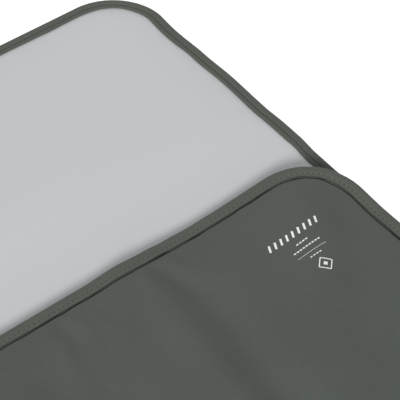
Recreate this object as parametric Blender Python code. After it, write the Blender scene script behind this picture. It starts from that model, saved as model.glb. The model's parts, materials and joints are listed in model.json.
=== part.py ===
# A travel changing mat: a bound sandwich of cover, wadding and lining, with its near end folded over.
# Metres, +Z up, +Y towards the end that lies open, +X towards the mat's right-hand edge.
# Each fold is a row of narrow strips, hinged one to the next on the outside of the bend.
import math

import bmesh
import bpy

# The mat opened out flat
MAT_WIDTH = 0.450
FLAP_LENGTH = 0.239
FAR_LENGTH = 0.1649
CORNER_RADIUS = 0.042
CORNER_STEPS = 8

# What lies between the two sides, from the floor up: tape, cover, wadding, lining, tape
TAPE = 0.0007
COVER = 0.0005
WADDING = 0.0024
LINING = 0.0005
LAYER_GAP = 0.0003
BINDING_WIDTH = 0.010

# The seam that sews the binding down, sunk into a groove on both sides
SEAM_INSET = 0.0068
GROOVE_WIDTH = 0.0009
GROOVE_DEPTH = 0.0005
THREAD_WIDTH = 0.0006
THREAD_THICKNESS = 0.00035

# The folds: the flap is folded over, and the far panel can be folded over it
FLAP_STRIPS = 4
FLAP_STRIP = 0.00845
FLAP_SLOPE = math.radians(1.2)
FAR_STRIPS = 3
FAR_STRIP = 0.0111
FAR_SLOPE = math.radians(5.0)
FLAP_TO_FAR_FOLD = 0.0097
FOLD_CLEARANCE = 0.00015

# What follows from them
COVER_LOW = TAPE + LAYER_GAP
WADDING_LOW = COVER_LOW + COVER + LAYER_GAP
LINING_LOW = WADDING_LOW + WADDING + LAYER_GAP
TOP_TAPE_LOW = LINING_LOW + LINING + LAYER_GAP
THICKNESS = TOP_TAPE_LOW + TAPE
LAYER_INSET = TAPE + LAYER_GAP
FLAP_TURN = (math.pi + FLAP_SLOPE) / (FLAP_STRIPS + 1)
FAR_TURN = (math.pi - FAR_SLOPE) / (FAR_STRIPS + 1)
FLAP_SLANT = math.tan(FLAP_TURN / 2)
FAR_SLANT = math.tan(FAR_TURN / 2)


def bend_steps():
    """How far along Y each strip of the flap's bend runs, away from the middle panel."""
    return [FLAP_STRIP * math.cos(FLAP_TURN * (i + 1)) for i in range(FLAP_STRIPS)]


def bend_bulge():
    """How far the bend stands out past the middle panel's near end."""
    steps = bend_steps()
    return max(sum(steps[: i + 1]) for i in range(FLAP_STRIPS))


FLAP_REACH = FLAP_LENGTH * math.cos(FLAP_SLOPE) - sum(bend_steps())
MIDDLE_LENGTH = FLAP_REACH + FLAP_TO_FAR_FOLD
FAR_REACH = MIDDLE_LENGTH + FAR_STRIPS * FAR_STRIP + FAR_LENGTH
NEAR_Y = (bend_bulge() - FAR_REACH) / 2


def finish(name, colour, roughness):
    """A plain Principled material."""
    material = bpy.data.materials.new(name)
    material.use_nodes = True
    shader = material.node_tree.nodes["Principled BSDF"]
    shader.inputs["Base Color"].default_value = (*colour, 1.0)
    shader.inputs["Roughness"].default_value = roughness
    shader.inputs["Metallic"].default_value = 0.0
    return material


def loft(name, rings, material, frame):
    """A closed solid through rings of points, capped at both ends."""
    shape = bmesh.new()
    loops = [[shape.verts.new(point) for point in ring] for ring in rings]
    for near, far in zip(loops, loops[1:]):
        for i, corner in enumerate(near):
            j = (i + 1) % len(near)
            shape.faces.new((corner, near[j], far[j], far[i]))
    shape.faces.new(list(reversed(loops[0])))
    shape.faces.new(loops[-1])
    bmesh.ops.recalc_face_normals(shape, faces=shape.faces)
    mesh = bpy.data.meshes.new(name)
    shape.to_mesh(mesh)
    shape.free()
    mesh.shade_smooth()
    mesh.set_sharp_from_angle(angle=math.radians(30))
    piece = bpy.data.objects.new(name, mesh)
    piece.data.materials.append(material)
    piece.parent = frame
    bpy.context.scene.collection.objects.link(piece)
    return piece


def hinge(name, frame, along, turn):
    """An empty on a hinge axis, which carries what turns there."""
    empty = bpy.data.objects.new(name, None)
    empty.empty_display_size = 0.02
    empty.location = (0.0, along, 0.0)
    empty.rotation_euler = (turn, 0.0, 0.0)
    empty.parent = frame
    bpy.context.scene.collection.objects.link(empty)
    return empty


def flat_section(low, thickness):
    """A layer's cross-section, as (x, z) points."""
    half = MAT_WIDTH / 2 - LAYER_INSET
    return [(-half, low), (half, low), (half, low + thickness), (-half, low + thickness)]


def tape_profile(grooved):
    """The folded tape's section, as (inwards from the mat's edge, z) points."""
    inner = BINDING_WIDTH
    low, high = TAPE, THICKNESS - TAPE
    start, stop = SEAM_INSET - GROOVE_WIDTH / 2, SEAM_INSET + GROOVE_WIDTH / 2
    lower = [(stop, 0), (stop, GROOVE_DEPTH), (start, GROOVE_DEPTH), (start, 0)]
    upper = [(inwards, THICKNESS - z) for inwards, z in reversed(lower)]
    if not grooved:
        lower, upper = [], []
    outside = [(inner, 0), *lower, (0, 0), (0, THICKNESS), *upper, (inner, THICKNESS)]
    return [*outside, (inner, high), (TAPE, high), (TAPE, low), (inner, low)]


def thread_profile(upper):
    """The seam thread's section, flush with the tape's face."""
    start, stop = SEAM_INSET - THREAD_WIDTH / 2, SEAM_INSET + THREAD_WIDTH / 2
    low = THICKNESS - THREAD_THICKNESS if upper else 0.0
    high = low + THREAD_THICKNESS
    return [(start, low), (stop, low), (stop, high), (start, high)]


def at_side(profile, side):
    """A profile that is measured inwards, placed at the left (-1) or right (1) edge."""
    return [(side * (MAT_WIDTH / 2 - inwards), z) for inwards, z in profile]


def band(name, section, start, stop, material, frame):
    """A section run along Y. Start and stop are (y, slant): y moves by slant for each unit of height."""
    rings = [[(x, y + slant * z, z) for x, z in section] for y, slant in (start, stop)]
    return loft(name, rings, material, frame)


def edge_stations(length):
    """The mat's outer edge round a panel's free end, as (x, along, inward x, inward along)."""
    half = MAT_WIDTH / 2
    stations = [(-half, 0.0, 1.0, 0.0)]
    for side, turns in ((-1, range(CORNER_STEPS + 1)), (1, reversed(range(CORNER_STEPS + 1)))):
        for i in turns:
            angle = math.pi / 2 * i / CORNER_STEPS
            out_x, out_along = side * math.cos(angle), math.sin(angle)
            x = side * (half - CORNER_RADIUS) + CORNER_RADIUS * out_x
            along = length - CORNER_RADIUS + CORNER_RADIUS * out_along
            stations.append((x, along, -out_x, -out_along))
    stations.append((half, 0.0, -1.0, 0.0))
    return stations


def edge_ring(station, profile, slant, way):
    """The profile at one station. At the fold it is cut on the slant, clear of the hinge."""
    x, along, in_x, in_along = station
    at_fold = along == 0.0
    ring = []
    for inwards, z in profile:
        cut = FOLD_CLEARANCE + slant * z if at_fold else 0.0
        ring.append((x + in_x * inwards, way * (along + cut + in_along * inwards), z))
    return ring


def round_end(name, profile, length, slant, way, material, frame):
    """A profile run up one side of a panel, round its free end and back down the other side."""
    rings = [edge_ring(station, profile, slant, way) for station in edge_stations(length)]
    return loft(name, rings, material, frame)


def panel_layer(name, low, thickness, length, slant, way, material, frame):
    """One flat layer of a panel with two round corners."""
    rings = []
    for z in (low, low + thickness):
        stations = edge_stations(length)
        rings.append([edge_ring(station, [(LAYER_INSET, z)], slant, way)[0] for station in stations])
    return loft(name, rings, material, frame)


def layers():
    """Each layer's name, underside, thickness and material."""
    return (
        ("cover", COVER_LOW, COVER, olive),
        ("wadding", WADDING_LOW, WADDING, white_wadding),
        ("lining", LINING_LOW, LINING, pale_lining),
    )


def make_band(prefix, start, stop, grooved, frame):
    """All the layers and both bound edges of a stretch with two straight cut ends."""
    for layer, low, thickness, material in layers():
        section = flat_section(low, thickness)
        band(f"{prefix}_{layer}", section, start, stop, material, frame)
    for word, side in (("left", -1), ("right", 1)):
        section = at_side(tape_profile(grooved), side)
        band(f"{prefix}_binding_{word}", section, start, stop, tape, frame)


def make_round_panel(prefix, length, slant, way, frame):
    """A panel that ends in the mat's two round corners, with its binding and both seams."""
    for layer, low, thickness, material in layers():
        panel_layer(f"{prefix}_{layer}", low, thickness, length, slant, way, material, frame)
    round_end(f"{prefix}_binding", tape_profile(True), length, slant, way, tape, frame)
    for word, upper in (("upper", True), ("lower", False)):
        name = f"{prefix}_seam_{word}"
        round_end(name, thread_profile(upper), length, slant, way, thread, frame)


def make_fold(prefix, count, strip, turn, slant, way, start, frame):
    """The strips of one fold, each on its own hinge. It gives the hinge that the next panel turns on."""
    along = start
    for i in range(count):
        frame = hinge(f"{prefix}_hinge_{i + 1}", frame, along, turn)
        cut = FOLD_CLEARANCE
        ends = (way * cut, way * slant), (way * (strip - cut), -way * slant)
        make_band(f"{prefix}_{i + 1}", *ends, False, frame)
        along = way * strip
    return hinge(f"{prefix}_hinge_{count + 1}", frame, along, turn)


def make_middle():
    """The panel that stays on the floor, with its binding and seams along both sides."""
    frame = hinge("middle_frame", None, NEAR_Y, 0.0)
    start = (FOLD_CLEARANCE, FLAP_SLANT)
    stop = (MIDDLE_LENGTH - FOLD_CLEARANCE, -FAR_SLANT)
    make_band("middle", start, stop, True, frame)
    for word, side in (("left", -1), ("right", 1)):
        for level, upper in (("upper", True), ("lower", False)):
            section = at_side(thread_profile(upper), side)
            band(f"middle_seam_{word}_{level}", section, start, stop, thread, frame)
    return frame


for old in list(bpy.data.objects):
    bpy.data.objects.remove(old, do_unlink=True)

olive = finish("olive_twill", (0.098, 0.110, 0.096), 0.85)
pale_lining = finish("pale_lining", (0.54, 0.56, 0.57), 0.55)
white_wadding = finish("white_wadding", (0.85, 0.85, 0.84), 0.95)
tape = finish("olive_binding", (0.085, 0.094, 0.080), 0.80)
thread = finish("olive_thread", (0.12, 0.13, 0.11), 0.70)

middle = make_middle()
flap_fold = ("flap_fold", FLAP_STRIPS, FLAP_STRIP, -FLAP_TURN, FLAP_SLANT, -1, 0.0)
make_round_panel("flap", FLAP_LENGTH, FLAP_SLANT, -1, make_fold(*flap_fold, middle))
far_fold = ("far_fold", FAR_STRIPS, FAR_STRIP, 0.0, FAR_SLANT, 1, MIDDLE_LENGTH)
make_round_panel("far", FAR_LENGTH, FAR_SLANT, 1, make_fold(*far_fold, middle))
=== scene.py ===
import json
import math

import bpy
import numpy as np
from mathutils import Matrix, Vector

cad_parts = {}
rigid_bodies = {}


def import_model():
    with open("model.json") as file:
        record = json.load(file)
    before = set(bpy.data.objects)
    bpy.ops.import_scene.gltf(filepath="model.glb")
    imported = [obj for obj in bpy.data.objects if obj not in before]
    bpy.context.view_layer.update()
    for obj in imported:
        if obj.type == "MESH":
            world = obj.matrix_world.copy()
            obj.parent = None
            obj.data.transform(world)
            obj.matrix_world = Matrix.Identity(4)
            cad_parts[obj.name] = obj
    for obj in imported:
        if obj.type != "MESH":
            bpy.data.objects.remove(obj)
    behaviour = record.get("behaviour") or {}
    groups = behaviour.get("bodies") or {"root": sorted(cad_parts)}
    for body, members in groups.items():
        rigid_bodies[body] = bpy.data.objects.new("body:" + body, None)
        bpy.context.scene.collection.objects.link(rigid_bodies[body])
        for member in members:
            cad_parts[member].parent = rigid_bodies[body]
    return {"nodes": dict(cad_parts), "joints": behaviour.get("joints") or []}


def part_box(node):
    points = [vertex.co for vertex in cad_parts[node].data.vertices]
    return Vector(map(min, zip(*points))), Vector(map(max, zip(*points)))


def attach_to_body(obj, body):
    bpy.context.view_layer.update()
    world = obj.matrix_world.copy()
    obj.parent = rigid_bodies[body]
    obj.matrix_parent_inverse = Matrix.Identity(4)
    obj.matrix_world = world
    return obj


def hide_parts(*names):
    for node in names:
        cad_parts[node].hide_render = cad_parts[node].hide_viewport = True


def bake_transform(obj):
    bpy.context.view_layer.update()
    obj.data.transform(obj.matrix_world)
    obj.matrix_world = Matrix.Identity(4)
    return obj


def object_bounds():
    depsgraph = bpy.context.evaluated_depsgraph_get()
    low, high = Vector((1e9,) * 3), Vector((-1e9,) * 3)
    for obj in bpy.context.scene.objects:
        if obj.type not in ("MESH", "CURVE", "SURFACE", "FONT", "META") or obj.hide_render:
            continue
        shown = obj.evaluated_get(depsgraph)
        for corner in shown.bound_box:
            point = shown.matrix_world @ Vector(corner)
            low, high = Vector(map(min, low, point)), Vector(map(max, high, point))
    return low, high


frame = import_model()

mm = 0.001
cadBox = [list(corner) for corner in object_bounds()]
print("changing mat: frame loaded, CAD box", cadBox)

# ---- where the folds lie, read from the frame's hinges ----

matSettings = {
    "cornerRadius": 42 * mm,
    "seam": 6.0 * mm,
    "hem": (8.4 * mm, 9.2 * mm),  # how far in the binding reaches: cover's side, lining's side
    "skin": 0.95 * mm,  # the cloths' faces lie this far inside the mat's flat faces
    "roundness": 0.5,  # 0 keeps each bend flat when the fold opens, 1 makes it a true arc at rest
}

matWidth = cadBox[1][0] - cadBox[0][0]
halfWidth = matWidth / 2
tapeLow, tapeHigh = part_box("middle_binding_left")
matThickness = tapeHigh.z - tapeLow.z


def hingesOf(fold):
    found = [joint for joint in frame["joints"] if joint["name"].startswith(fold)]
    return sorted(found, key=lambda joint: joint["name"])


flapHinges = hingesOf("flap_fold")
farHinges = hingesOf("far_fold")
flapTurn = math.radians(flapHinges[0]["range_deg"][1])
flapSlope = len(flapHinges) * flapTurn - math.pi
flapStrip = math.dist(flapHinges[0]["pos_m"], flapHinges[1]["pos_m"])
farStrip = math.dist(farHinges[0]["pos_m"], farHinges[1]["pos_m"])
flapLength = (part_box("flap_binding")[1].y - flapHinges[-1]["pos_m"][1]) / math.cos(flapSlope)
middleStart = flapLength + flapStrip * (len(flapHinges) - 1)
nearY = flapHinges[0]["pos_m"][1]
farStart = middleStart + farHinges[0]["pos_m"][1] - nearY
farPanelStart = farStart + farStrip * (len(farHinges) - 1)
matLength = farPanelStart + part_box("far_binding")[1].y - farHinges[-1]["pos_m"][1]
print("flat mat", round(matWidth, 4), "x", round(matLength, 4))

# Each hinge: where it is along the flat mat, half its strip, its y and z, heading, turn and bodies
bends = []
heading = math.pi - flapSlope
for number, joint in reversed(list(enumerate(flapHinges))):
    bends.append({
        "s": flapLength + flapStrip * (len(flapHinges) - 1 - number), "half": flapStrip / 2,
        "y": joint["pos_m"][1], "z": joint["pos_m"][2], "before": heading, "turn": flapTurn,
        "bodies": (joint["child"], joint["parent"]), "strip": number, "fold": "flap_fold",
    })
    heading += flapTurn
for number, joint in enumerate(farHinges):
    bends.append({
        "s": farStart + farStrip * number, "half": farStrip / 2,
        "y": joint["pos_m"][1], "z": joint["pos_m"][2], "before": 2 * math.pi, "turn": 0.0,
        "bodies": (joint["parent"], joint["child"]), "strip": number + 1, "fold": "far_fold",
    })


# Turns flat places (x across, s along, h up from the cover's side) into places at rest
def restPlaces(flat):
    x, s, h = flat.T
    corner, end = nearCorner(x, s), nearEnd(s)
    x = x + sideways(x, s) + reliefSettings["cornerAside"] * corner + reliefSettings["endAside"] * end
    s = s - reliefSettings["cornerReach"] * corner - reliefSettings["endReach"] * end
    y, z = np.empty_like(s), np.empty_like(s)

    def rigid(chosen, bend, angle):
        along = s[chosen] - bend["s"]
        y[chosen] = bend["y"] + along * math.cos(angle) - h[chosen] * math.sin(angle)
        z[chosen] = bend["z"] + along * math.sin(angle) + h[chosen] * math.cos(angle)

    rigid(s <= bends[0]["s"], bends[0], bends[0]["before"])
    for i, bend in enumerate(bends):
        start = bend["s"] - bend["half"]
        stop = bend["s"] + bend["half"]
        after = bend["before"] + bend["turn"]
        rigid(s >= stop, bend, after)
        here = (s >= start) & (s <= stop)
        t = (s[here] - start) / (stop - start)
        angle = bend["before"] + bend["turn"] * t * t * (3 - 2 * t)
        along = s[here] - bend["s"]
        bentY = bend["y"] + along * np.cos(angle) - h[here] * np.sin(angle)
        bentZ = bend["z"] + along * np.sin(angle) + h[here] * np.cos(angle)
        if bend["turn"]:
            inner = bend["half"] / math.tan(bend["turn"] / 2)
            middle = bend["before"] + bend["turn"] / 2
            reach = inner / math.cos(bend["turn"] / 2)
            angle = bend["before"] + bend["turn"] * t
            arcY = bend["y"] - reach * math.sin(middle) + (inner - h[here]) * np.sin(angle)
            arcZ = bend["z"] + reach * math.cos(middle) - (inner - h[here]) * np.cos(angle)
            share = matSettings["roundness"]
            bentY = bentY * (1 - share) + arcY * share
            bentZ = bentZ * (1 - share) + arcZ * share
        y[here], z[here] = bentY, bentZ
    return np.stack([x, y, z], axis=1)


# ---- the soft shape that all the layers share ----

reliefSettings = {
    "creaseDepth": 1.75,  # scales every crease below
    "waveHeight": 0.5 * mm,
    "farWave": 0.3 * mm,
    # outward shift of the long edges, and lift of the flap's free edge, both (place, shift) in mm
    "rightEdge": [
        (400, 0), (500, 0), (522, 0), (539, 1.1), (552, 1.1), (572, 0.3), (606, 1),
        (634, -0.1), (662, -1.4), (690, 0),
    ],
    "leftEdge": [(300, 0), (380, -0.8), (450, 0.6), (520, -0.5), (590, -1.2), (650, 0.7), (690, 0)],
    "freeEdge": [
        (-225, 0), (-100, -0.5), (0, -1.1), (48, -0.4), (73, 1.5), (92, 0.2), (108, -1.2), (125, -2),
        (143, -1.75), (160, -1.3), (180, -0.7), (205, 0),
    ],
    "freeEdgeReach": 30 * mm,
    "coverSwell": 1.5 * mm,  # how full each face is between the bindings
    "floorSwell": 0.65 * mm,
    "liningSwell": 1.0 * mm,
    "gather": 0.3 * mm,  # puckers beside the seams
    "liningGather": 0.1 * mm,
    "edgeDip": 1.15 * mm,  # the cloth dips beside the binding's hem
    "endLift": -3.3 * mm,  # the flap's free end sags and reaches out, and its corner springs up
    "endReach": 3.0 * mm,
    "endAside": 2.45 * mm,
    "cornerLift": 4.2 * mm,
    "cornerReach": 2.4 * mm,
    "cornerAside": 1.6 * mm,
    "flapAside": 9.5 * mm,  # the flap lies a little off square
}


# Smooth random hills on a lattice of the given pitch, from -1 to 1
def hills(x, s, pitch, seed, stretch=1.0):
    lattice = np.random.default_rng(seed).uniform(-1, 1, (96, 96))
    u = (x + halfWidth) / pitch + 2.3
    v = s / (pitch * stretch) + 2.7
    i, j = np.floor(u).astype(int), np.floor(v).astype(int)
    a, b = u - i, v - j
    a, b = a * a * (3 - 2 * a), b * b * (3 - 2 * b)
    i, j = i % 95, j % 95
    low = lattice[i, j] * (1 - a) + lattice[i + 1, j] * a
    high = lattice[i, j + 1] * (1 - a) + lattice[i + 1, j + 1] * a
    return low * (1 - b) + high * b


# How far a place is inside the mat's outline
def edgeInset(x, s):
    radius = matSettings["cornerRadius"]
    dx = np.abs(x) - (halfWidth - radius)
    ds = np.abs(s - matLength / 2) - (matLength / 2 - radius)
    outside = np.hypot(np.maximum(dx, 0), np.maximum(ds, 0))
    return radius - outside - np.minimum(np.maximum(dx, ds), 0)


# A smooth step from 0 at low to 1 at high
def smooth(value, low, high):
    t = np.clip((value - low) / (high - low), 0, 1)
    return t * t * (3 - 2 * t)


# Each crease of the flap in mm: its line (across, along), depth, and width at the start and further on
creaseList = [
    {"line": [(86, 8), (90, 40), (87, 83), (80, 122), (77, 235)], "depth": 1.7, "narrow": 3.5, "wide": 12},
    {"line": [(205, 20), (190, 62), (170, 88), (148, 114), (126, 150)], "depth": 1.5, "narrow": 9, "wide": 17},
    {"line": [(104, 9), (109, 33)], "depth": 0.5, "narrow": 2, "wide": 4},
    {"line": [(42, 9), (49, 32)], "depth": 0.5, "narrow": 2, "wide": 4},
    {"line": [(20, 9), (20, 38), (12, 75)], "depth": 0.7, "narrow": 2.5, "wide": 8},
    {"line": [(39, 9), (37, 30), (26, 56)], "depth": 0.5, "narrow": 2.5, "wide": 6},
    {"line": [(-14, 30), (-2, 120), (-6, 235)], "depth": 0.8, "narrow": 8, "wide": 20},
    {"line": [(-84, 8), (-90, 60), (-82, 235)], "depth": -1.5, "narrow": 3.5, "wide": 13},
    {"line": [(-204, 22), (-176, 80), (-132, 140)], "depth": -1.2, "narrow": 9, "wide": 17},
    {"line": [(-52, 9), (-46, 36)], "depth": 0.5, "narrow": 2, "wide": 4},
    {"line": [(-120, 9), (-113, 30)], "depth": -0.5, "narrow": 2, "wide": 4},
]


# A crease is full on one side of its line and hollow on the other
def creaseWave(x, s):
    total = np.zeros_like(s)
    for crease in creaseList:
        line = np.array(crease["line"]) * mm
        at = np.interp(s, line[:, 1], line[:, 0])
        far = np.clip((s - line[0, 1]) / (40 * mm), 0, 1)
        width = (crease["narrow"] + (crease["wide"] - crease["narrow"]) * far) * mm
        d = (x - at) / width
        fade = smooth(s, line[0, 1] - 1 * mm, line[0, 1] + 10 * mm)
        if line[-1, 1] < flapLength - 10 * mm:
            long = line[-1, 1] - line[0, 1]
            fade = fade * (1 - smooth(s, line[-1, 1] - 0.45 * long, line[-1, 1] + 0.25 * long))
        grow = 0.35 + 0.65 * far
        total += crease["depth"] * mm * grow * fade * d * np.exp(0.5 - d * d / 2)
    return total * reliefSettings["creaseDepth"]


# A smooth line through given points, in mm
def through(value, points):
    points = np.array(points) * mm
    i = np.clip(np.searchsorted(points[:, 0], value) - 1, 0, len(points) - 2)
    t = smooth(value, points[i, 0], points[i + 1, 0])
    return points[i, 1] * (1 - t) + points[i + 1, 1] * t


# The flap's free end, and its free right corner, from 0 to 1
def nearEnd(s):
    return np.clip(1 - s / flapLength, 0, 1) ** 2


def nearCorner(x, s):
    return np.clip(1 - s / flapLength, 0, 1) ** 3 * np.clip(x / halfWidth, 0, 1) ** 4


# The whole mat's own waves and creases, as a rise towards the lining's side
def bodyWave(x, s):
    relief = reliefSettings
    onFlap = 1 - smooth(s, flapLength - 0.05, flapLength - 0.005)
    onFar = smooth(s, farPanelStart + 0.006, farPanelStart + 0.05)
    flapWave = creaseWave(x, s) + relief["waveHeight"] * hills(x, s, 0.085, 3)
    farWave = relief["farWave"] * (1 + hills(x, s, 0.11, 5))
    spring = relief["endLift"] * nearEnd(s) + relief["cornerLift"] * nearCorner(x, s)
    spring = spring + through(x, relief["freeEdge"]) * np.exp(-s / relief["freeEdgeReach"])
    return onFlap * flapWave + onFar * farWave - spring


# How far a place lies to one side: the flap is off square, and the long edges wander a little
def sideways(x, s):
    onEdge = smooth(np.abs(x), 0.15, halfWidth)
    right, left = (through(s, reliefSettings[side]) for side in ("rightEdge", "leftEdge"))
    aside = reliefSettings["flapAside"] * smooth(1 - s / flapLength, 0, 0.65)
    return np.where(x > 0, right, left) * onEdge - aside


# The small gathers that a seam makes
def puckers(x, s, seed):
    wave = np.sin((x + s) / (2.4 * mm) + 2 * hills(x, s, 0.03, seed)) * 0.6
    return wave + 0.5 * np.sin((x - s) / (3.7 * mm) + 3 * hills(x, s, 0.05, seed + 1))


# From 1 at the hem to 0 well inside it
def inward(depth, reach):
    return np.exp(-np.maximum(depth, 0) / reach)


# From 0 on the flap to 1 on the parts whose cover rests on the floor
def onFloor(s):
    return smooth(s, flapLength - 0.02, flapLength + 0.02)


def coverFace(x, s):
    relief = reliefSettings
    depth = edgeInset(x, s) - matSettings["hem"][0]
    floor = onFloor(s)
    swell = relief["coverSwell"] * (1 - floor) + relief["floorSwell"] * floor
    rise = 0.45 * (1 - inward(depth, 2.2 * mm)) + 0.55 * (1 - inward(depth, 10 * mm))
    dip = relief["edgeDip"] * np.exp(-((depth - 0.2 * mm) / (0.75 * mm)) ** 2)
    gather = relief["gather"] * puckers(x, s, 11) * inward(depth, 6 * mm)
    gather = gather * smooth(depth, -1 * mm, 1.5 * mm)
    fine = 0.22 * mm * hills(x, s, 0.028, 17) * rise
    return matSettings["skin"] - swell * rise + dip - (gather + fine) * (1 - floor)


def liningFace(x, s):
    relief = reliefSettings
    depth = edgeInset(x, s) - matSettings["hem"][1]
    onFar = smooth(s, farPanelStart - 0.01, farPanelStart + 0.03)
    swell = relief["liningSwell"] * (0.35 + 0.65 * onFar)
    rise = 1 - inward(depth, 9 * mm)
    dip = 0.1 * relief["edgeDip"] * np.exp(-(depth / (1.2 * mm)) ** 2)
    gather = relief["liningGather"] * puckers(x, s, 31) * inward(depth, 5 * mm)
    gather = gather * smooth(depth, -1 * mm, 2 * mm)
    fine = 0.12 * mm * hills(x, s, 0.04, 37) * rise
    return matThickness - matSettings["skin"] + swell * rise - dip + gather + fine


# Painted shade: how dark the cloth is painted along the binding's hem, in the crevice beside the tape
def paintedHemShade(x, s):
    depth = edgeInset(x, s) - matSettings["hem"][0]
    wobble = 0.4 * mm * hills(x, s, 0.007, 83)
    return np.exp(-((depth - 0.15 * mm - wobble) / (0.5 * mm)) ** 2)


# ---- materials ----

# A shader value that Python's operators join to others by Math nodes
class Shade:
    def __init__(self, tree, socket):
        self.tree, self.socket = tree, socket

    def join(self, operation, other, swapped=False):
        node = self.tree.nodes.new("ShaderNodeMath")
        node.operation = operation
        values = (other, self) if swapped else (self, other)
        for place, value in zip(node.inputs, values):
            if isinstance(value, Shade):
                self.tree.links.new(value.socket, place)
            elif value is not None:
                place.default_value = value
        return Shade(self.tree, node.outputs[0])

    def __add__(self, other):
        return self.join("ADD", other)

    def __radd__(self, other):
        return self.join("ADD", other)

    def __sub__(self, other):
        return self.join("SUBTRACT", other)

    def __rsub__(self, other):
        return self.join("SUBTRACT", other, True)

    def __mul__(self, other):
        return self.join("MULTIPLY", other)

    def __rmul__(self, other):
        return self.join("MULTIPLY", other)

    def __pow__(self, other):
        return self.join("POWER", other)

    def sine(self):
        return self.join("SINE", None)

    def above(self, other):
        return self.join("MAXIMUM", other)


# A material with one Principled shader, and the nodes that feed it
class Finish:
    def __init__(self, name):
        self.material = bpy.data.materials.new(name)
        self.material.use_nodes = True
        self.tree = self.material.node_tree
        self.shader = self.tree.nodes["Principled BSDF"]

    # Any node: settings are set first, then its sockets are given values or links
    def node(self, kind, settings=None, output=0, **sockets):
        made = self.tree.nodes.new(kind)
        for key, value in (settings or {}).items():
            if key == "stops":
                ramp = made.color_ramp
                while len(ramp.elements) < len(value):
                    ramp.elements.new(0.5)
                for element, (place, colour) in zip(ramp.elements, value):
                    element.position, element.color = place, (*colour, 1.0)
            else:
                setattr(made, key, value)
        for key, value in sockets.items():
            numbered = key[0] == "i" and key[1:].isdigit()
            self.feed(made.inputs[int(key[1:]) if numbered else key], value)
        return Shade(self.tree, made.outputs[output])

    def feed(self, place, value):
        if isinstance(value, Shade):
            self.tree.links.new(value.socket, place)
        else:
            place.default_value = value

    def set(self, name, value):
        self.feed(self.shader.inputs[name], value)

    def flatPlace(self, scale=1.0, turn=0.0):
        where = self.node("ShaderNodeUVMap", {"uv_map": "flat"})
        return self.node("ShaderNodeMapping", i0=where, i3=(scale, scale, scale), i2=(0.0, 0.0, turn))

    def split(self, place, axis):
        return self.node("ShaderNodeSeparateXYZ", output=axis, i0=place)

    def noise(self, place, scale, detail=3.0, rough=0.5):
        return self.node("ShaderNodeTexNoise", Vector=place, Scale=scale, Detail=detail, Roughness=rough)

    # A value that was set for each point of the piece
    def pointValue(self, name):
        return self.node("ShaderNodeAttribute", {"attribute_name": name}, output=2)

    def mixColours(self, share, first, second):
        made = self.tree.nodes.new("ShaderNodeMix")
        made.data_type = "RGBA"
        for place, value in ((0, share), (6, first), (7, second)):
            if isinstance(value, tuple) and len(value) == 3:
                value = (*value, 1.0)
            self.feed(made.inputs[place], value)
        return Shade(self.tree, made.outputs[2])

    def bump(self, height, distance):
        self.set("Normal", self.node("ShaderNodeBump", Height=height, Distance=distance))


# sRGB to the linear values that a socket takes
def tone(red, green, blue):
    return tuple(((v / 255 + 0.055) / 1.055) ** 2.4 for v in (red, green, blue))


twillSettings = {
    "colour": tone(78, 83, 77), "dark": tone(66, 71, 66), "light": tone(87, 92, 85),
    "ribs": 0.75 * mm, "turn": math.radians(63), "rough": 0.82,
}


def twillFinish(name, settings, ribDepth):
    finish = Finish(name)
    place = finish.flatPlace(1.0, settings["turn"])
    warp = finish.noise(finish.flatPlace(1.0), 420.0, 2.0)
    across = finish.split(place, 0)
    along = finish.split(place, 1)
    ribs = (across * (2 * math.pi / settings["ribs"]) + warp * 1.4).sine() * 0.5 + 0.5
    yarns = (along * (2 * math.pi / (settings["ribs"] * 0.62)) + ribs * 2.2).sine() * 0.5 + 0.5
    weave = ribs * 0.7 + yarns * 0.3
    cloudy = finish.noise(finish.flatPlace(1.0), 34.0, 4.0, 0.6)
    slubs = finish.noise(finish.flatPlace(1.0), 900.0, 2.0, 0.7)
    grain = finish.noise(finish.flatPlace(1.0), 1900.0, 3.0, 0.75)
    full = weave * 0.14 + slubs * 0.5 + grain * 0.6
    worn = (cloudy - 0.38).above(0.0) * 0.8 + (grain - 0.5).above(0.0)
    shade = finish.mixColours(full, settings["dark"], settings["colour"])
    shade = finish.mixColours(worn, shade, settings["light"])
    # Painted shade: the cloth darkens towards near black where its shade value is set, along the hem and in
    # the seam's groove
    finish.set("Base Color", finish.mixColours(finish.pointValue("shade"), shade, tone(14, 15, 13)))
    finish.set("Roughness", settings["rough"] + (cloudy - 0.5) * 0.12)
    finish.shader.inputs["Sheen Weight"].default_value = 0.12
    finish.shader.inputs["Sheen Roughness"].default_value = 0.5
    finish.shader.inputs["Specular IOR Level"].default_value = 0.25
    finish.bump(weave * 0.8 + slubs * 0.3 + grain * 0.4, ribDepth)
    return finish.material


liningSettings = {
    "colour": tone(189, 190, 192), "cool": tone(185, 187, 190), "grain": 0.55 * mm, "rough": 0.42,
}


def liningFinish():
    finish = Finish("wipeCleanLining")
    place = finish.flatPlace(1.0)
    cloudy = finish.noise(place, 9.0, 3.0)
    grains = {"Vector": place, "Scale": 1 / liningSettings["grain"]}
    pebble = finish.node("ShaderNodeTexVoronoi", {"feature": "SMOOTH_F1"}, **grains)
    stretched = finish.node("ShaderNodeMapping", i0=place, i3=(1.0, 0.35, 1.0))
    wrinkle = finish.noise(stretched, 120.0, 3.0, 0.6)
    finish.set("Base Color", finish.mixColours(cloudy, liningSettings["colour"], liningSettings["cool"]))
    finish.set("Roughness", liningSettings["rough"] + cloudy * 0.12 + pebble * 0.06)
    finish.shader.inputs["Coat Weight"].default_value = 0.08
    finish.shader.inputs["Coat Roughness"].default_value = 0.35
    finish.bump(pebble * 0.25 + wrinkle * 0.9, 0.12 * mm)
    return finish.material


bindingSettings = {
    "colour": tone(80, 84, 77), "dark": tone(67, 71, 65), "light": tone(89, 93, 85),
    "ribs": 0.6 * mm, "turn": math.radians(45), "rough": 0.8,
}

threadSettings = {"colour": tone(108, 107, 94), "dark": tone(44, 44, 38), "rough": 0.6, "twist": 0.16}


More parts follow.
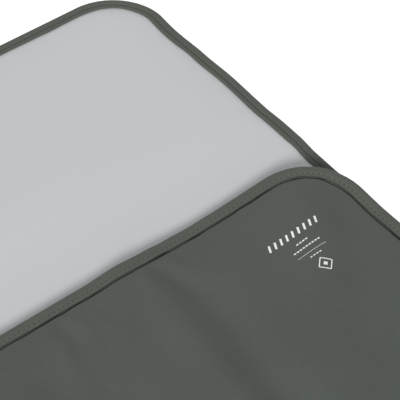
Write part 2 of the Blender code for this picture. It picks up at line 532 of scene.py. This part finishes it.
def threadFinish():
    finish = Finish("sewingThread")
    place = finish.flatPlace(1.0)
    along = finish.split(place, 0)
    slanted = along + finish.split(place, 1) * 0.5
    strands = (slanted * (2 * math.pi / threadSettings["twist"])).sine() * 0.5 + 0.5
    # Painted shade: each stitch darkens towards its ends, where it dives into the cloth, and the twist's
    # strands make it lighter and darker in turn; stitches on the lining's side take the darker bobbin thread
    ends = ((along - 0.5).join("ABSOLUTE", None) * 2.0) ** 3.0
    paintedShadeAndBobbin = (1.0 - ends) * (strands * 0.3 + 0.7) * (1.0 - finish.pointValue("under") * 0.8)
    finish.set("Base Color", finish.mixColours(paintedShadeAndBobbin, threadSettings["dark"], threadSettings["colour"]))
    finish.set("Roughness", threadSettings["rough"] + strands * 0.1)
    finish.bump(strands, 0.05 * mm)
    return finish.material


def waddingFinish():
    finish = Finish("whiteWadding")
    place = finish.flatPlace(1.0)
    fibres = finish.noise(place, 300.0, 5.0, 0.7)
    finish.set("Base Color", finish.mixColours(fibres, (0.72, 0.72, 0.70), (0.9, 0.9, 0.89)))
    finish.set("Roughness", 0.9 + fibres * 0.08)
    finish.bump(fibres, 0.6 * mm)
    return finish.material


def markFinish():
    finish = Finish("whitePrint")
    place = finish.flatPlace(1.0)
    wear = finish.noise(place, 700.0, 3.0, 0.6)
    finish.set("Base Color", finish.mixColours(wear, (0.70, 0.71, 0.70), (0.86, 0.87, 0.86)))
    finish.set("Roughness", 0.55 + wear * 0.1)
    finish.bump(wear, 0.03 * mm)
    return finish.material


coverMaterial = twillFinish("oliveTwill", twillSettings, 0.07 * mm)
bindingMaterial = twillFinish("oliveBinding", bindingSettings, 0.06 * mm)
liningMaterial = liningFinish()
threadMaterial = threadFinish()
waddingMaterial = waddingFinish()
markMaterial = markFinish()
print("materials made")

# ---- sheets ----

uvScale = 0.4  # a metre of cloth is this much of the UV square


def deselectAll():
    for thing in list(bpy.context.selected_objects):
        thing.select_set(False)


# A grid primitive, whose corners are then laid at the given columns and rows
def gridPiece(name, columns, rows):
    deselectAll()
    bpy.ops.mesh.primitive_grid_add(
        x_subdivisions=len(columns) - 1, y_subdivisions=len(rows) - 1, size=1, location=(0, 0, 0)
    )
    piece = bpy.context.object
    piece.name = piece.data.name = name
    places = np.empty(len(piece.data.vertices) * 3)
    piece.data.vertices.foreach_get("co", places)
    places = places.reshape(-1, 3) + 0.5
    i = np.rint(places[:, 0] * (len(columns) - 1)).astype(int)
    j = np.rint(places[:, 1] * (len(rows) - 1)).astype(int)
    return piece, np.asarray(columns)[i], np.asarray(rows)[j]


def setPlaces(piece, places):
    piece.data.vertices.foreach_set("co", np.ascontiguousarray(places, np.float32).ravel())
    piece.data.update()


# The piece's own UV map holds its place on the flat cloth
def setFlatMap(piece, across, along):
    layer = piece.data.uv_layers.active
    layer.name = "flat"
    corners = np.empty(len(piece.data.loops), np.int32)
    piece.data.loops.foreach_get("vertex_index", corners)
    flat = np.stack([across[corners], along[corners]], axis=1)
    layer.data.foreach_set("uv", np.ascontiguousarray(flat, np.float32).ravel())


# A value for each point of a piece, which its material reads
def setShade(data, name, values):
    layer = data.attributes.new(name, "FLOAT", "POINT")
    layer.data.foreach_set("value", np.ascontiguousarray(values, np.float32))


# Turns a flat grid's faces up (1) or down (-1)
def turnOut(piece, outward):
    piece.data.update()
    normals = np.empty(len(piece.data.polygons) * 3)
    piece.data.polygons.foreach_get("normal", normals)
    if normals[2::3].sum() * outward < 0:
        piece.data.flip_normals()


def thicken(piece, thickness):
    deselectAll()
    bpy.context.view_layer.objects.active = piece
    piece.select_set(True)
    solid = piece.modifiers.new("thickness", "SOLIDIFY")
    solid.thickness = thickness
    solid.offset = -1
    bpy.ops.object.modifier_apply(modifier=solid.name)
    bpy.ops.object.shade_smooth_by_angle(angle=math.radians(50))


def joinPieces(pieces, name):
    deselectAll()
    for piece in pieces:
        piece.select_set(True)
    bpy.context.view_layer.objects.active = pieces[0]
    if len(pieces) > 1:
        bpy.ops.object.join()
    pieces[0].name = pieces[0].data.name = name
    return pieces[0]


def dress(piece, material):
    piece.data.materials.clear()
    piece.data.materials.append(material)


# Grid lines: fine beside the bound edge, then wider
edgeLines = np.array([
    0, 2.6, 5.2, 6.6, 7.1, 7.4, 7.7, 8.1, 8.5, 8.8, 9.2, 9.9, 10.9, 12.3,
    14, 16.4, 19, 22.3, 26, 29.5, 33, 37,
]) * mm
gridStep = 3.2 * mm


# Evenly spaced values from start to stop, about a step apart
def spread(start, stop, step):
    count = max(1, int(round((stop - start) / step)))
    return list(np.linspace(start, stop, count + 1))


def columnLines(inset):
    left = [-halfWidth + inset + v for v in edgeLines]
    inner = spread(left[-1], -left[-1], gridStep)[1:-1]
    return left + inner + [-v for v in reversed(left)]


# The stretches that the mat is divided into along its length: three panels, and a bend at each hinge.
# end says which end of the mat a panel holds, if any
def panel(name, start, stop, end):
    return {"name": name, "start": start, "stop": stop, "body": f"{name}_panel", "end": end}


def bendStretch(number, bend):
    name, middle, half = f"{bend['fold']}_bend_{number + 1}", bend["s"], bend["half"]
    return {"name": name, "start": middle - half, "stop": middle + half, "bend": bend}


bendStretches = [bendStretch(number, bend) for number, bend in enumerate(bends)]
flapBends, farBends = bendStretches[: len(flapHinges)], bendStretches[len(flapHinges):]
panels = [
    panel("flap", 0.0, flapBends[0]["start"], -1),
    panel("middle", flapBends[-1]["stop"], farBends[0]["start"], 0),
    panel("far", farBends[-1]["stop"], matLength, 1),
]
stretches = [panels[0], *flapBends, panels[1], *farBends, panels[2]]


def rowLines(stretch, inset):
    start, stop = stretch["start"], stretch["stop"]
    if "bend" in stretch:
        return spread(start, stop, (stop - start) / 8)
    if stretch["end"] < 0:
        fine = [inset + v for v in edgeLines]
        return fine + spread(fine[-1], stop, gridStep)[1:]
    if stretch["end"] > 0:
        fine = [stop - inset - v for v in reversed(edgeLines)]
        return spread(start, fine[0], gridStep)[:-1] + fine
    return spread(start, stop, 6 * mm)


# Lays the square corners of a grid along the mat's round corners, ring inside ring
def roundCorners(x, s, inset):
    radius = matSettings["cornerRadius"] - inset
    a = halfWidth - inset - np.abs(x)
    b = matLength / 2 - inset - np.abs(s - matLength / 2)
    near = (a < radius) & (b < radius)
    ring = np.minimum(a, b)
    other = np.maximum(a, b)
    turn = np.where(near, (radius - other) / np.maximum(radius - ring, 1e-9), 0) * math.pi / 4
    level = radius - (radius - ring) * np.cos(turn)
    side = radius - (radius - ring) * np.sin(turn)
    newA = np.where(a <= b, level, side)
    newB = np.where(a <= b, side, level)
    a = np.where(near, newA, a)
    b = np.where(near, newB, b)
    x = np.sign(x) * (halfWidth - inset - a)
    s = matLength / 2 + np.sign(s - matLength / 2) * (matLength / 2 - inset - b)
    return x, s


# Hangs a piece on its body; a bend piece only has its transform baked, and hangs on no body
def attach(piece, stretch, height):
    if "bend" not in stretch:
        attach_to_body(piece, stretch["body"])
        return
    ends = restPlaces(np.array([[0, stretch["start"], height], [0, stretch["stop"], height]]))
    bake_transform(piece)


# Gives a piece its material and its place (see attach), and hides the CAD nodes that it stands for
def finishPiece(piece, stretch, material, slot, height, *endings):
    dress(piece, material)
    attach(piece, stretch, height)
    stoodFor = nodesOf(stretch, *endings)
    if stoodFor:
        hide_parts(*stoodFor)


# The CAD nodes of a stretch whose names end so
def nodesOf(stretch, *endings):
    if "bend" in stretch:
        bend = stretch["bend"]
        prefix = f"{bend['fold']}_{bend['strip']}_"
    else:
        prefix = stretch["name"] + "_"
    wanted = [prefix + ending for ending in endings]
    return [name for name in frame["nodes"] if name in wanted]


skin = matSettings["skin"]
layerSettings = {
    "cover": {"face": coverFace, "height": skin, "thickness": 0.4 * mm, "out": -1},
    "lining": {"face": liningFace, "height": matThickness - skin, "thickness": 0.35 * mm, "out": 1},
}
layerInset = 1.0 * mm
sheets = {"cover": {}, "lining": {}}


def makeLayer(kind, stretch, material, slot):
    settings = layerSettings[kind]
    columns, rows = columnLines(layerInset), rowLines(stretch, layerInset)
    piece, x, s = gridPiece(f"{stretch['name']}_{kind}_cloth", columns, rows)
    x, s = roundCorners(x, s, layerInset)
    h = settings["face"](x, s) + bodyWave(x, s)
    setFlatMap(piece, (x + halfWidth) * uvScale, s * uvScale)
    setPlaces(piece, np.stack([x, s, h], axis=1))
    turnOut(piece, settings["out"])
    setPlaces(piece, restPlaces(np.stack([x, s, h], axis=1)))
    # The cover is given painted shade along its hem, which its material reads
    if kind == "cover":
        setShade(piece.data, "shade", paintedHemShade(x, s))
    thicken(piece, settings["thickness"])
    finishPiece(piece, stretch, material, slot, settings["height"], kind)
    sheets[kind][stretch["name"]] = piece


# clear keeps the wadding inside the cloths where they dip
waddingSettings = {"low": 1.55 * mm, "high": 4.35 * mm, "inset": 2.0 * mm, "clear": 0.45 * mm, "fill": 0.3}


def makeWadding(stretch):
    settings = waddingSettings
    columns, rows = columnLines(settings["inset"]), rowLines(stretch, settings["inset"])
    piece, x, s = gridPiece(f"{stretch['name']}_wadding_fill", columns, rows)
    x, s = roundCorners(x, s, settings["inset"])
    low = np.maximum(settings["low"], coverFace(x, s) + settings["clear"])
    high = np.minimum(settings["high"], liningFace(x, s) - settings["clear"])
    setFlatMap(piece, (x + halfWidth) * uvScale, s * uvScale)
    setPlaces(piece, np.stack([x, s, low], axis=1))
    turnOut(piece, -1)
    thicken(piece, settings["high"] - settings["low"])
    x, s = np.tile(x, 2), np.tile(s, 2)
    h = np.concatenate([low, high]) + bodyWave(x, s)
    setPlaces(piece, restPlaces(np.stack([x, s, h], axis=1)))
    finishPiece(piece, stretch, waddingMaterial, "wadding", matThickness / 2, "wadding")


for stretch in stretches:
    makeLayer("cover", stretch, coverMaterial, "outer_fabric")
    makeLayer("lining", stretch, liningMaterial, "lining")
    makeWadding(stretch)
print("cover, lining and wadding made")

# ---- binding tape ----

tapeSettings = {
    "step": 2.4 * mm,
    "cornerStep": 1.9 * mm,
    "thickness": 0.35 * mm,
    "puff": 0.2 * mm,
    "waver": 0.3 * mm,
}

# Half of the tape's fold, from its hidden end over the hem to the mat's edge:
# place (0 the mat's edge, 1 the seam, 2 the hem), depth under the face, share of puff
tapeHalf = [
    (0.92, 0.80, 0), (1.35, 0.79, 0), (1.77, 0.77, 0), (1.92, 0.68, 0), (2.0, 0.48, 0), (2.0, 0.24, 0),
    (1.92, 0.06, 0.1), (1.77, -0.02, 0.4), (1.56, -0.04, 0.7), (1.31, -0.02, 0.7), (1.14, 0.05, 0.4),
    (1.0, 0.2, 0),
    (0.935, 0.05, 0.4), (0.84, -0.04, 0.9), (0.68, -0.06, 1), (0.52, -0.04, 1), (0.355, 0.04, 0.8),
    (0.226, 0.2, 0.5),
    (0.113, 0.52, 0.2), (0.04, 1.05, 0), (0.008, 1.8, 0), (0.0, 2.6, 0),
]


# The mat's outline for one stretch, as runs of (x, s, inward x, inward s)
def edgeRuns(stretch):
    start, stop, end = stretch["start"], stretch["stop"], stretch.get("end", 0)
    step = tapeSettings["step"] if "bend" not in stretch else (stop - start) / 10
    if end == 0:
        along = spread(start, stop, step)
        return [[(side * halfWidth, s, -side, 0.0) for s in along] for side in (-1, 1)]
    radius = matSettings["cornerRadius"]
    tip, other = (0.0, stop) if end < 0 else (matLength, start)
    inner = tip - end * radius
    toCorner = spread(min(inner, other), max(inner, other), step)[::end]
    turns = spread(0.0, math.pi / 2, tapeSettings["cornerStep"] / radius)[:-1]
    centre = halfWidth - radius
    run = [(-halfWidth, s, 1.0, 0.0) for s in toCorner[:-1]]
    for angle in turns:
        dx, ds = -math.cos(angle), math.sin(angle) * end
        run.append((-centre + radius * dx, inner + radius * ds, -dx, -ds))
    run += [(x, tip, 0.0, -float(end)) for x in spread(-centre, centre, step)[:-1]]
    for angle in turns:
        dx, ds = math.sin(angle), math.cos(angle) * end
        run.append((centre + radius * dx, inner + radius * ds, -dx, -ds))
    run += [(halfWidth, s, -1.0, 0.0) for s in reversed(toCorner)]
    return [run]


# The tape's face at an inset from the edge, on the cover's side (level 0) or the lining's side (1)
def tapeHeight(x, s, depth, puff, level):
    floorSide = onFloor(s) if level == 0 else 0.0
    ripple = 0.5 + 0.5 * np.sin((x + s) / (2.39 * mm) + 1.3 * hills(x, s, 0.06, 51))
    lift = puff * tapeSettings["puff"] * (0.7 + 0.6 * ripple) * (1 - floorSide)
    height = depth - lift
    height = np.where(floorSide > 0.5, np.maximum(height, 0.02 * mm), height)
    return height if level == 0 else matThickness - height


# The tape's whole section, from its hidden end on the cover's side to the one on the lining's:
# inset from the edge, depth under the face, share of puff, side
def tapeProfile():
    place, depth, puff = np.array(tapeHalf).T
    halves, seam = [], matSettings["seam"]
    for side, hem in enumerate(matSettings["hem"]):
        inset = np.minimum(place, 1) * seam + np.maximum(place - 1, 0) * (hem - seam)
        halves.append(np.stack([inset, depth * mm, puff, np.full(len(place), side)], axis=1))
    return np.concatenate([halves[0], halves[1][::-1]])


# One run of tape. It returns the piece, the tape's width unfolded, and its length
def tapeRun(name, run):
    seam, hem, profile = matSettings["seam"], matSettings["hem"], tapeProfile()
    piece, column, row = gridPiece(name, np.arange(len(profile)), np.arange(len(run)))
    column, row = column.astype(int), row.astype(int)
    line = np.array(run)
    edgeX, edgeS, inX, inS = line[row].T
    inset, depth, puff, level = profile[column].T
    # Painted shade: the tape is darkened in the seam's groove, more on the lining's side, and along its hem on
    # the cover's side
    groove = np.exp(-((inset - seam) / (0.25 * mm)) ** 2)
    rim = (level < 0.5) * smooth(inset, hem[0] - 0.25 * mm, hem[0] - 0.02 * mm)
    setShade(piece.data, "shade", groove * (0.6 + 0.2 * level) + 0.9 * rim)
    depth = depth + 0.2 * mm * level * groove
    nearInner = smooth(inset, 6.8 * mm, 8.3 * mm)
    waver = tapeSettings["waver"] * hills(edgeX, edgeS, 0.011, 61) * nearInner
    edgeWaver = 0.18 * mm * hills(edgeX, edgeS, 0.05, 67)
    inset = inset + waver + edgeWaver * (1 - nearInner)
    x, s = edgeX + inX * inset, edgeS + inS * inset
    low = tapeHeight(edgeX, edgeS, depth, puff, 0)
    high = tapeHeight(edgeX, edgeS, depth, puff, 1)
    h = np.where(level < 0.5, low, high) + bodyWave(x, s)
    steps = np.hypot(*np.diff(line[:, :2], axis=0).T)
    along = np.concatenate([[0], np.cumsum(steps)])
    sectionHeight = np.where(profile[:, 3] < 0.5, profile[:, 1], matThickness - profile[:, 1])
    across = np.concatenate([[0], np.cumsum(np.hypot(np.diff(profile[:, 0]), np.diff(sectionHeight)))])
    setFlatMap(piece, across[column] * uvScale, along[row] * uvScale)
    places = np.stack([x, s, h], axis=1)
    setPlaces(piece, places)
    faceUp(piece)
    setPlaces(piece, restPlaces(places))
    return piece, float(across[-1]), float(along[-1])


# Turns the tape's faces outwards, judged at the middle of its lining side
def faceUp(piece):
    piece.data.update()
    if sum(face.normal.z for face in piece.data.polygons if face.center.z > matThickness * 0.97) < 0:
        piece.data.flip_normals()


def makeTape(stretch):
    made = [tapeRun(f"{stretch['name']}_tape_{i}", run) for i, run in enumerate(edgeRuns(stretch))]
    piece = joinPieces([part for part, _, _ in made], f"{stretch['name']}_binding_tape")
    thicken(piece, tapeSettings["thickness"])
    endings = ("binding", "binding_left", "binding_right")
    finishPiece(piece, stretch, bindingMaterial, "binding", matThickness / 2, *endings)
    return piece, made[0][1], sum(length for _, _, length in made)


# ---- stitches ----

stitchSettings = {
    "pitch": 3.3 * mm, "length": 2.75 * mm, "width": 0.62 * mm, "height": 0.42 * mm,
    "sunk": (0.06 * mm, 0.2 * mm),  # under the tape's face: cover's side, lining's side
    "sunkOnFloor": 0.32 * mm,
    "arch": 0.22 * mm,  # how far a stitch's ends dive
    "slant": 0.09,
}


def stitchShape():
    deselectAll()
    bpy.ops.mesh.primitive_uv_sphere_add(segments=8, ring_count=6, radius=0.5, rotation=(0, math.pi / 2, 0))
    ball = bpy.context.object
    bpy.ops.object.transform_apply(location=False, rotation=True, scale=False)
    places = np.array([tuple(v.co) for v in ball.data.vertices])
    faces = [tuple(face.vertices) for face in ball.data.polygons]
    bpy.data.objects.remove(ball)
    places *= (stitchSettings["length"], stitchSettings["width"], stitchSettings["height"])
    return places, faces


stitchPlaces, stitchFaces = stitchShape()


# Each stitch of a run: its middle (x, s), and the way that the seam goes there
def seamSteps(run):
    line = np.array(run)
    seam = line[:, :2] + line[:, 2:] * matSettings["seam"]
    along = np.concatenate([[0], np.cumsum(np.hypot(*np.diff(seam, axis=0).T))])
    count = max(2, int(round(along[-1] / stitchSettings["pitch"])))

    def seamPlace(at):
        return np.array([np.interp(at, along, seam[:, 0]), np.interp(at, along, seam[:, 1])])

    for number in range(count):
        at = (number + 0.5) * along[-1] / count
        ahead = seamPlace(at + 1 * mm) - seamPlace(at - 1 * mm)
        yield number, seamPlace(at), ahead / np.hypot(*ahead)


# One stitch on the cover's side (0) or the lining's (1), in flat places
def stitchPoints(number, middle, ahead, level):
    settings = stitchSettings
    resting = level == 0 and middle[1] > flapLength
    sunk = settings["sunkOnFloor"] if resting else settings["sunk"][level]
    along, aside, up = stitchPlaces.T
    aside = aside + settings["slant"] * math.sin(number * 2.4) * along
    depth = up + sunk + settings["arch"] * (2 * along / settings["length"]) ** 2
    if resting:
        depth = np.maximum(depth, 0.01 * mm)
    x = middle[0] + along * ahead[0] - aside * ahead[1]
    s = middle[1] + along * ahead[1] + aside * ahead[0]
    h = depth if level == 0 else matThickness - depth
    return np.stack([x, s, h + bodyWave(x, s)], axis=1)


def makeStitches(stretch):
    places, faces = [], []
    for run in edgeRuns(stretch):
        for number, middle, ahead in seamSteps(run):
            for level in (0, 1):
                base = len(places) * len(stitchPlaces)
                turned = stitchFaces if level == 0 else [tuple(reversed(face)) for face in stitchFaces]
                faces += [tuple(corner + base for corner in face) for face in turned]
                places.append(stitchPoints(number, middle, ahead, level))
    mesh = bpy.data.meshes.new(f"{stretch['name']}_stitches")
    mesh.from_pydata(restPlaces(np.concatenate(places)).tolist(), [], faces)
    setShade(mesh, "under", np.repeat(np.arange(len(places)) % 2, len(stitchPlaces)))
    piece = bpy.data.objects.new(mesh.name, mesh)
    bpy.context.scene.collection.objects.link(piece)
    mesh.uv_layers.new(name="flat")
    own = stitchPlaces[:, :2] / (stitchSettings["length"], stitchSettings["width"]) + 0.5
    setFlatMap(piece, *np.tile(own, (len(places), 1)).T)
    deselectAll()
    bpy.context.view_layer.objects.active = piece
    piece.select_set(True)
    bpy.ops.object.mode_set(mode="EDIT")
    bpy.ops.mesh.select_all(action="SELECT")
    bpy.ops.mesh.normals_make_consistent(inside=False)
    bpy.ops.object.mode_set(mode="OBJECT")
    bpy.ops.object.shade_smooth()
    endings = [f"seam_{side}{level}" for side in ("", "left_", "right_") for level in ("upper", "lower")]
    finishPiece(piece, stretch, threadMaterial, "thread", matThickness / 2, *endings)


tapes = {}
for stretch in stretches:
    tapes[stretch["name"]] = makeTape(stretch)
    makeStitches(stretch)
print("binding and stitches made")

# ---- a plain printed mark on the flap ----

markSettings = {
    "middle": 168 * mm, "fromEnd": 45 * mm,
    "bars": 9, "pitch": 4.3 * mm, "bar": 1.3 * mm, "tall": 5 * mm, "slant": 0.45,
    "rows": [(8, 9, 1.1), (12.5, 20, 1.1), (17, 22, 0.4), (20.5, 11, 0.8)],  # mm below, length, height
    "dash": (1.5 * mm, 0.7 * mm), "dot": (0.8 * mm, 0.5 * mm),  # each with the gap after it
    "diamondBelow": 29 * mm, "diamond": 7.5 * mm, "stroke": 0.6 * mm, "centre": 2.2 * mm,
    "above": 0.04 * mm, "ink": 0.05 * mm,
}


# A small printed patch, turned about its middle
def markPatch(name, middleX, middleS, wide, long, turn=0.0):
    columns = spread(-wide / 2, wide / 2, 1.0 * mm)
    rows = spread(-long / 2, long / 2, 1.0 * mm)
    piece, u, v = gridPiece(name, columns, rows)
    x = middleX + u * math.cos(turn) - v * math.sin(turn)
    s = middleS + u * math.sin(turn) + v * math.cos(turn)
    h = coverFace(x, s) + bodyWave(x, s) - markSettings["above"]
    setFlatMap(piece, (x + halfWidth) * uvScale, s * uvScale)
    setPlaces(piece, np.stack([x, s, h], axis=1))
    turnOut(piece, -1)
    setPlaces(piece, restPlaces(np.stack([x, s, h], axis=1)))
    return piece


# The four sides of an outlined diamond
def markFrame(name, x, s, size, stroke, turn=0.0):
    parts = []
    reach = (size - stroke) / 2
    for k in range(4):
        angle = turn + k * math.pi / 2
        midX, midS = x + reach * math.cos(angle), s + reach * math.sin(angle)
        parts.append(markPatch(f"{name}_{k}", midX, midS, stroke, size - stroke, angle))
    return parts


def makeMark():
    parts, settings = [], markSettings
    middle, top = settings["middle"], settings["fromEnd"]
    for k in range(settings["bars"]):
        x = middle + (k - (settings["bars"] - 1) / 2) * settings["pitch"]
        parts.append(markPatch(f"mark_bar_{k}", x, top, settings["bar"], settings["tall"], settings["slant"]))
    for k, (below, long, tall) in enumerate(settings["rows"]):
        dash, gap = settings["dash"] if tall > 0.5 else settings["dot"]
        count = int(long * mm / (dash + gap))
        for i in range(count):
            x = middle + (i - (count - 1) / 2) * (dash + gap)
            parts.append(markPatch(f"mark_row_{k}_{i}", x, top + below * mm, dash, tall * mm * 0.8))
    below = top + settings["diamondBelow"]
    parts += markFrame("mark_diamond", middle, below, settings["diamond"], settings["stroke"], math.pi / 4)
    parts.append(markPatch("mark_dot", middle, below, settings["centre"], settings["centre"], math.pi / 4))
    piece = joinPieces(parts, "flap_printed_mark")
    thicken(piece, settings["ink"])
    dress(piece, markMaterial)
    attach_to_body(piece, "flap_panel")
    return piece


mark = makeMark()

# ---- each soft panel's size and bend pieces, worked out but not used ----

# The bend pieces of each panel's sheet, which are part of the same cloth
bendsWith = {
    "flap": [],
    "middle": [item["name"] for item in flapBends],
    "far": [item["name"] for item in farBends],
}

for kind, made in sheets.items():
    for item in panels:
        name = item["name"]
        inset = layerInset if item["end"] else 0.0
        size = (matWidth - 2 * layerInset, item["stop"] - item["start"] - inset)
        going = [made[other] for other in bendsWith[name]]
        if kind == "cover" and name == "flap":
            going.append(mark)
        held = "folded" if name == "flap" else "laid"
for name, others in bendsWith.items():
    going = [tapes[other][0] for other in others]

# ---- floor, light and camera ----

stageSettings = {"floor": 6.0, "paper": (0.95, 0.95, 0.95), "world": 0.38}


def makeStage():
    deselectAll()
    bpy.ops.mesh.primitive_plane_add(size=stageSettings["floor"], location=(0, 0, -0.0002))
    floor = bpy.context.object
    floor.name = "floor"
    finish = Finish("paleFloor")
    finish.set("Base Color", (*stageSettings["paper"], 1.0))
    finish.set("Roughness", 0.9)
    finish.shader.inputs["Emission Color"].default_value = (1, 1, 1, 1)
    finish.shader.inputs["Emission Strength"].default_value = 0.6
    floor.data.materials.append(finish.material)
    world = bpy.data.worlds.new("studio")
    bpy.context.scene.world = world
    world.use_nodes = True
    world.node_tree.nodes["Background"].inputs[0].default_value = (1.0, 1.0, 1.0, 1.0)
    world.node_tree.nodes["Background"].inputs[1].default_value = stageSettings["world"]


lightSettings = [
    {"name": "softKey", "kind": "SUN", "from": (-1.57, -1.49, 1.42), "spread": 14.0, "power": 2.9},
    {"name": "softTop", "kind": "AREA", "from": (0.2, 0.5, 1.45), "spread": 1.0, "power": 5.0},
]


def makeLights():
    for settings in lightSettings:
        bpy.ops.object.light_add(type=settings["kind"], location=settings["from"])
        lamp = bpy.context.object
        lamp.name = settings["name"]
        if settings["kind"] == "SUN":
            lamp.data.angle = math.radians(settings["spread"])
        else:
            lamp.data.size = settings["spread"]
        lamp.data.energy = settings["power"]
        lamp.rotation_mode = "QUATERNION"
        lamp.rotation_quaternion = (-Vector(settings["from"])).to_track_quat("-Z", "Y")


cameraSettings = {
    "at": (-0.31053, -0.51392, 0.80168), "yaw": 39.199, "down": 47.952, "roll": 1.516, "lens": 160.53,
}


def makeCamera():
    bpy.ops.object.camera_add(location=cameraSettings["at"])
    camera = bpy.context.object
    camera.data.lens = cameraSettings["lens"]
    camera.data.sensor_width = 36.0
    camera.data.clip_start = 0.01
    yaw, down, roll = (math.radians(cameraSettings[key]) for key in ("yaw", "down", "roll"))
    ahead = Vector((math.sin(yaw) * math.cos(down), math.cos(yaw) * math.cos(down), -math.sin(down)))
    right = Vector((math.cos(yaw), -math.sin(yaw), 0))
    up = right.cross(ahead)
    turned = right * math.cos(roll) + up * math.sin(roll)
    up = turned.cross(ahead)
    camera.rotation_mode = "QUATERNION"
    camera.rotation_quaternion = Matrix((turned, up, -ahead)).transposed().to_quaternion()
    bpy.context.scene.camera = camera


makeStage()
makeLights()
makeCamera()
bpy.context.scene.view_settings.view_transform = "Standard"
print("stage, lights and camera made")
